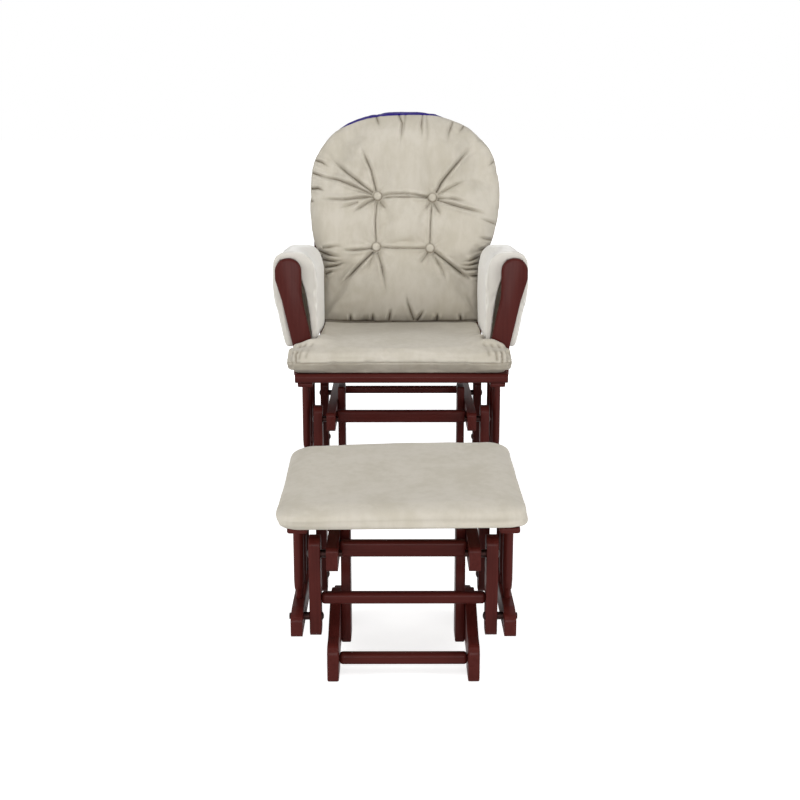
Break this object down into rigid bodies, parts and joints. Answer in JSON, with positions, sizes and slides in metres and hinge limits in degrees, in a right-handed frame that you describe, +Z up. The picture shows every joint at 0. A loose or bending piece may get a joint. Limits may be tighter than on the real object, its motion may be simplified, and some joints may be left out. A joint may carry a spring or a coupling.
{
  "type": "glider nursery chair",
  "caption": "Wooden glider nursery chair with tufted cushions and padded arms, its seat hung on swing arms, and a matching gliding footstool.",
  "frame": {"origin": "on the floor, at the middle of the box around the chair and its footstool", "axes": "+Z up, -Y the way a sitter faces, towards the footstool, +X to the right of someone who looks at the front of the chair"},
  "size_m": [0.646, 1.5244, 1.0374],
  "materials": {
    "wood": "dark cherry stained hardwood under a satin lacquer",
    "cloth": "beige brushed microfibre upholstery",
    "plywood": "bare plywood",
    "dark_steel": "black zinc plated steel",
    "bright_steel": "ground bearing steel"
  },
  "bodies": {
    "base": {"chair_runner_left": "wood", "chair_runner_right": "wood", "chair_upright_left": "wood", "chair_upright_right": "wood", "chair_top_rail_left": "wood", "chair_top_rail_right": "wood", "chair_front_cross_rail": "wood", "chair_rear_cross_rail": "wood", "chair_low_stretcher": "wood", "stool_runner_left": "wood", "stool_runner_right": "wood", "stool_upright_left": "wood", "stool_upright_right": "wood", "stool_top_rail_left": "wood", "stool_top_rail_right": "wood", "stool_front_cross_rail": "wood", "stool_rear_cross_rail": "wood", "stool_low_stretcher": "wood", "upper_pivot_bolts": "dark_steel", "upper_bearings": "bright_steel"},
    "chair_front_arms": {"chair_front_swing_arm_left": "wood", "chair_front_swing_arm_right": "wood", "chair_swing_arm_rail": "wood"},
    "chair_rear_arms": {"chair_rear_swing_arm_left": "wood", "chair_rear_swing_arm_right": "wood"},
    "stool_front_arms": {"stool_front_swing_arm_left": "wood", "stool_front_swing_arm_right": "wood", "stool_swing_arm_rail": "wood"},
    "stool_rear_arms": {"stool_rear_swing_arm_left": "wood", "stool_rear_swing_arm_right": "wood"},
    "stool_seat": {"stool_side_plate_left": "wood", "stool_side_plate_right": "wood", "stool_posts": "wood", "stool_bottom_rail_left": "wood", "stool_bottom_rail_right": "wood", "stool_seat_board": "plywood", "stool_pad": "cloth", "stool_lower_bolts": "dark_steel", "stool_lower_bearings": "bright_steel"},
    "chair_seat": {"chair_side_plate_left": "wood", "chair_side_plate_right": "wood", "chair_posts": "wood", "chair_bottom_rail_left": "wood", "chair_bottom_rail_right": "wood", "chair_front_rail": "wood", "chair_rear_rail": "wood", "seat_slats": "wood", "arm_support_left": "wood", "arm_support_right": "wood", "armrest_left": "wood", "armrest_right": "wood", "back_hoop": "wood", "back_slats": "wood", "chair_lower_bolts": "dark_steel", "chair_lower_bearings": "bright_steel", "seat_cushion": "cloth", "back_cushion": "cloth", "covered_buttons": "cloth", "arm_pad_left": "cloth", "arm_pad_right": "cloth"}
  },
  "joints": [
    {"name": "chair_glide", "type": "hinge", "parent": "base", "child": "chair_front_arms", "pos_m": [0, 0.19284, 0.28], "axis": [1, 0, 0], "range_deg": [-16, 16]},
    {"name": "chair_rear_glide", "type": "hinge", "parent": "base", "child": "chair_rear_arms", "pos_m": [0, 0.49084, 0.28], "axis": [1, 0, 0], "range_deg": [-16, 16]},
    {"name": "chair_seat_level", "type": "hinge", "parent": "chair_front_arms", "child": "chair_seat", "pos_m": [0, 0.19284, 0.153], "axis": [1, 0, 0], "range_deg": [-16, 16]},
    {"name": "stool_glide", "type": "hinge", "parent": "base", "child": "stool_front_arms", "pos_m": [0, -0.68015, 0.24], "axis": [1, 0, 0], "range_deg": [-16, 16]},
    {"name": "stool_rear_glide", "type": "hinge", "parent": "base", "child": "stool_rear_arms", "pos_m": [0, -0.46015, 0.24], "axis": [1, 0, 0], "range_deg": [-16, 16]},
    {"name": "stool_seat_level", "type": "hinge", "parent": "stool_front_arms", "child": "stool_seat", "pos_m": [0, -0.68015, 0.113], "axis": [1, 0, 0], "range_deg": [-16, 16]}
  ],
  "couplings": [
    {"joint": "chair_rear_glide", "follows": "chair_glide", "ratio": 1},
    {"joint": "chair_seat_level", "follows": "chair_glide", "ratio": -1},
    {"joint": "stool_rear_glide", "follows": "stool_glide", "ratio": 1},
    {"joint": "stool_seat_level", "follows": "stool_glide", "ratio": -1}
  ]
}
